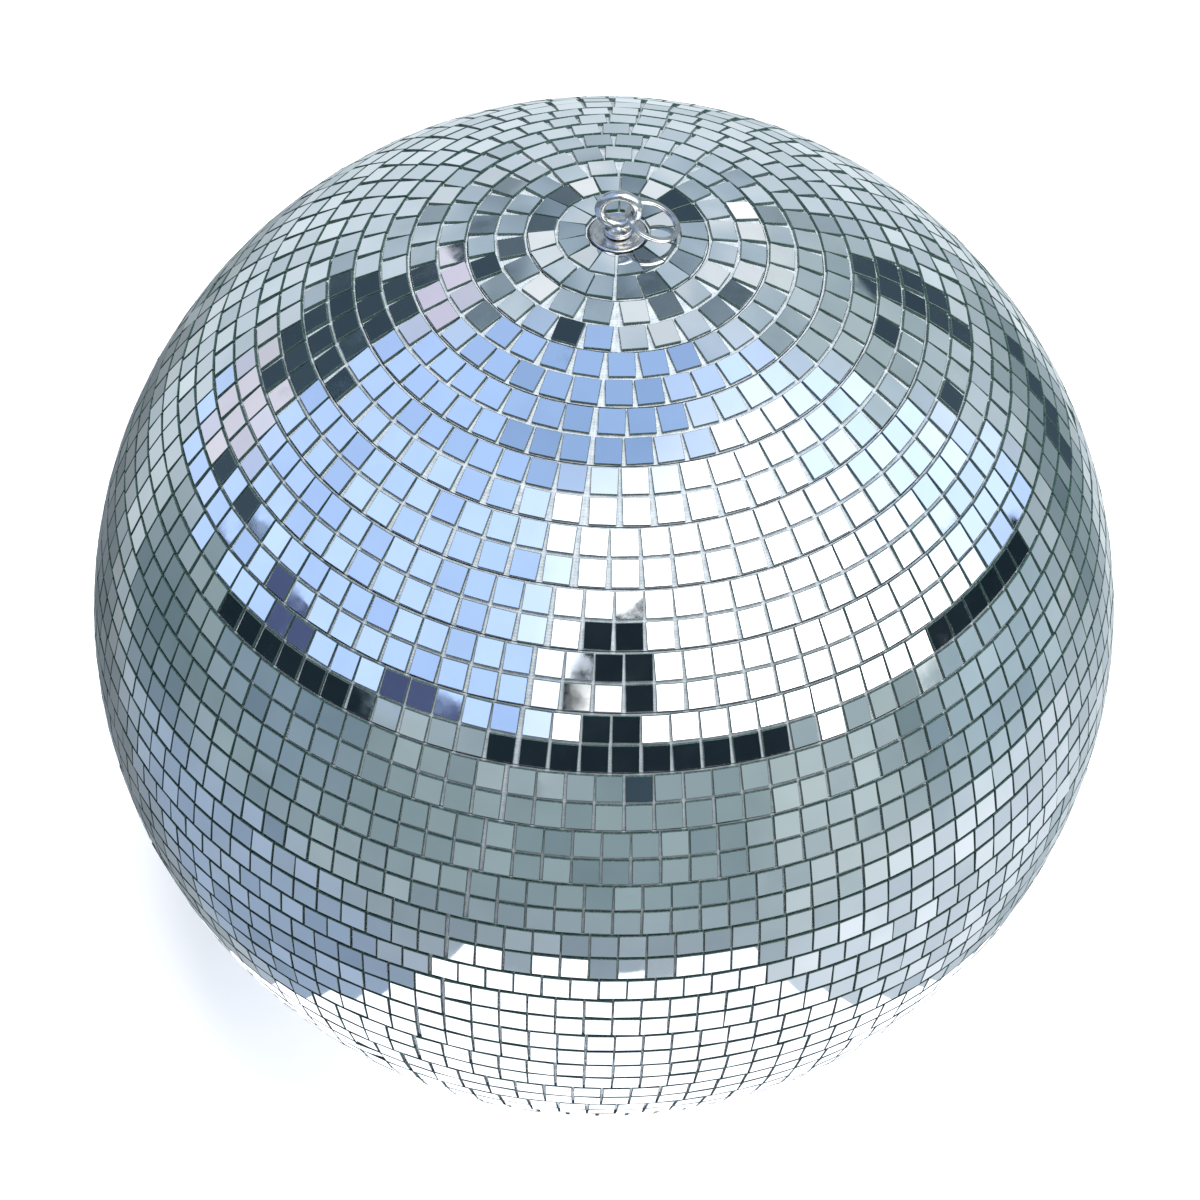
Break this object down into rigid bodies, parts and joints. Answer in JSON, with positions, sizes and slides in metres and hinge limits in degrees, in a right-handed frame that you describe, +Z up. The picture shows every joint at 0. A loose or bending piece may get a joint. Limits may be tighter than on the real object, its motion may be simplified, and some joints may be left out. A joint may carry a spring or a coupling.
{
  "type": "mirror ball",
  "caption": "Round hanging ball covered in rows of small square mirror tiles, turning under a swivel eye with a folding ring.",
  "frame": {"origin": "the top of the hole in the eye, where a hook or cord carries the ball", "axes": "+Z up along the shank that the ball turns on; +Y through the hole of the eye; +X towards the side that the split ring lies on"},
  "size_m": [0.3998, 0.3998, 0.419],
  "materials": {
    "mirror_glass": "polished",
    "nickel_steel": "nickel plated, bright",
    "zinc_steel": "zinc plated",
    "core_plastic": "moulded, matt",
    "brass": "turned",
    "nylon": "moulded, natural"
  },
  "bodies": {
    "hanger": {"swivel_eye": "nickel_steel", "steel_washer": "zinc_steel", "lock_nut": "zinc_steel"},
    "ball": {"tile_strip_01": "mirror_glass", "tile_strip_02": "mirror_glass", "tile_strip_03": "mirror_glass", "tile_strip_04": "mirror_glass", "tile_strip_05": "mirror_glass", "tile_strip_06": "mirror_glass", "tile_strip_07": "mirror_glass", "tile_strip_08": "mirror_glass", "tile_strip_09": "mirror_glass", "tile_strip_10": "mirror_glass", "tile_strip_11": "mirror_glass", "tile_strip_12": "mirror_glass", "tile_strip_13": "mirror_glass", "tile_strip_14": "mirror_glass", "tile_strip_15": "mirror_glass", "tile_strip_16": "mirror_glass", "tile_strip_17": "mirror_glass", "tile_strip_18": "mirror_glass", "tile_strip_19": "mirror_glass", "tile_strip_20": "mirror_glass", "tile_strip_21": "mirror_glass", "tile_strip_22": "mirror_glass", "tile_strip_23": "mirror_glass", "tile_strip_24": "mirror_glass", "tile_strip_25": "mirror_glass", "tile_strip_26": "mirror_glass", "tile_strip_27": "mirror_glass", "pole_mirror": "mirror_glass", "upper_core_shell": "core_plastic", "lower_core_shell": "core_plastic", "joining_band": "core_plastic", "hanger_hub": "core_plastic", "reinforcement_plate": "zinc_steel", "plate_screw_1": "zinc_steel", "plate_screw_2": "zinc_steel", "plate_screw_3": "zinc_steel", "plate_screw_4": "zinc_steel", "flanged_bush": "brass", "hanger_rosette": "nickel_steel", "thrust_washer": "nylon"},
    "ring": {"split_ring": "nickel_steel"}
  },
  "joints": [
    {"name": "ball_spin", "type": "hinge", "parent": "hanger", "child": "ball", "pos_m": [0, 0, -0.215], "axis": [0, 0, 1], "continuous": true},
    {"name": "ring_fold", "type": "hinge", "parent": "hanger", "child": "ring", "pos_m": [0, 0, -0.005], "axis": [0, -1, 0], "range_deg": [0, 222]}
  ]
}
